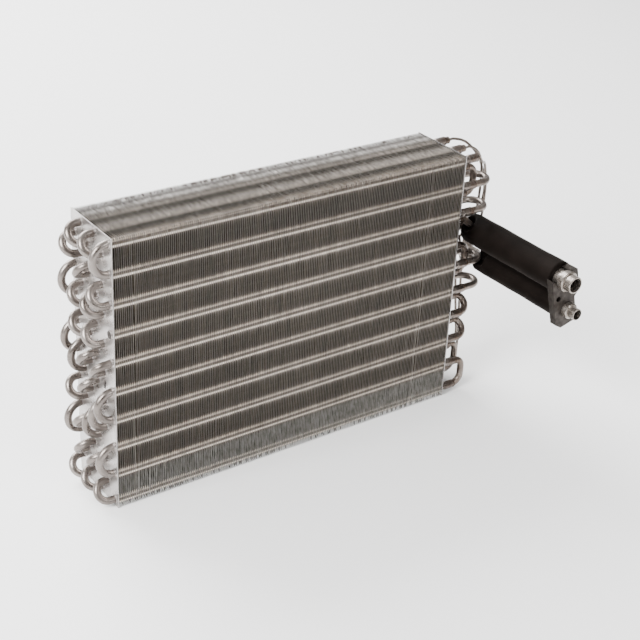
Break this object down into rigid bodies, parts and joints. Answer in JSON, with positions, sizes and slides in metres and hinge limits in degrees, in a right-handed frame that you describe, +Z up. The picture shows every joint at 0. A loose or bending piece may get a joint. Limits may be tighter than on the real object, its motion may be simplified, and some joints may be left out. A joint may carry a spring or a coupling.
{
  "type": "evaporator core",
  "caption": "Finned-tube evaporator core with end plates, hairpin tubes, return bends and thin feed tubes; its foam-covered pipes end in a flange block with plain stubs.",
  "frame": {"origin": "under the middle of the whole part's outline, level with the bottom edge of the core", "axes": "+X along the core tubes towards the return bends, +Y from the front face to the back face, +Z up; both stubs point to -Y"},
  "size_m": [0.4098, 0.1774, 0.24],
  "materials": {
    "fins": "thin rippled sheet, dull",
    "end_plates": "bare sheet, satin",
    "tubes": "drawn tube, satin, with brown braze marks",
    "capillaries": "drawn tube, satin",
    "feed_fittings": "turned, satin",
    "pipes": "drawn tube, satin",
    "foam": "closed-cell foam, matt",
    "stubs": "turned, satin",
    "flange_block": "milled, dull"
  },
  "bodies": {
    "root": {"fin_pack": "fins", "left_end_plate": "end_plates", "right_end_plate": "end_plates", "hairpin_row_1_seat_1": "tubes", "hairpin_row_1_seat_3": "tubes", "hairpin_row_1_seat_5": "tubes", "hairpin_row_1_seat_6": "tubes", "hairpin_row_1_seat_8": "tubes", "hairpin_row_1_seat_10": "tubes", "hairpin_row_2_seat_1": "tubes", "hairpin_row_2_seat_3": "tubes", "hairpin_row_2_seat_4": "tubes", "hairpin_row_2_seat_6": "tubes", "hairpin_row_2_seat_8": "tubes", "hairpin_row_3_seat_2": "tubes", "hairpin_row_3_seat_5": "tubes", "hairpin_row_3_seat_6": "tubes", "hairpin_row_3_seat_7": "tubes", "hairpin_row_3_seat_10": "tubes", "hairpin_row_4_seat_1": "tubes", "hairpin_row_4_seat_3": "tubes", "hairpin_row_4_seat_4": "tubes", "hairpin_row_4_seat_7": "tubes", "hairpin_row_4_seat_8": "tubes", "hairpin_row_5_seat_2": "tubes", "hairpin_row_5_seat_5": "tubes", "hairpin_row_5_seat_7": "tubes", "hairpin_row_5_seat_10": "tubes", "hairpin_row_6_seat_2": "tubes", "hairpin_row_6_seat_4": "tubes", "hairpin_row_6_seat_7": "tubes", "return_bends_circuit_1": "tubes", "return_bends_circuit_2": "tubes", "return_bends_circuit_3": "tubes", "return_bends_circuit_4": "tubes", "return_bends_circuit_5": "tubes", "outlet_spur_1": "tubes", "outlet_spur_2": "tubes", "outlet_spur_3": "tubes", "outlet_spur_4": "tubes", "outlet_spur_5": "tubes", "capillary_1": "capillaries", "capillary_2": "capillaries", "capillary_3": "capillaries", "capillary_4": "capillaries", "capillary_5": "capillaries", "feed_plugs": "feed_fittings", "distributor": "feed_fittings", "suction_pipe": "pipes", "header_cap": "pipes", "liquid_pipe": "pipes", "suction_foam": "foam", "liquid_foam": "foam", "suction_stub": "stubs", "liquid_stub": "stubs", "flange_block": "flange_block"}
  },
  "joints": []
}
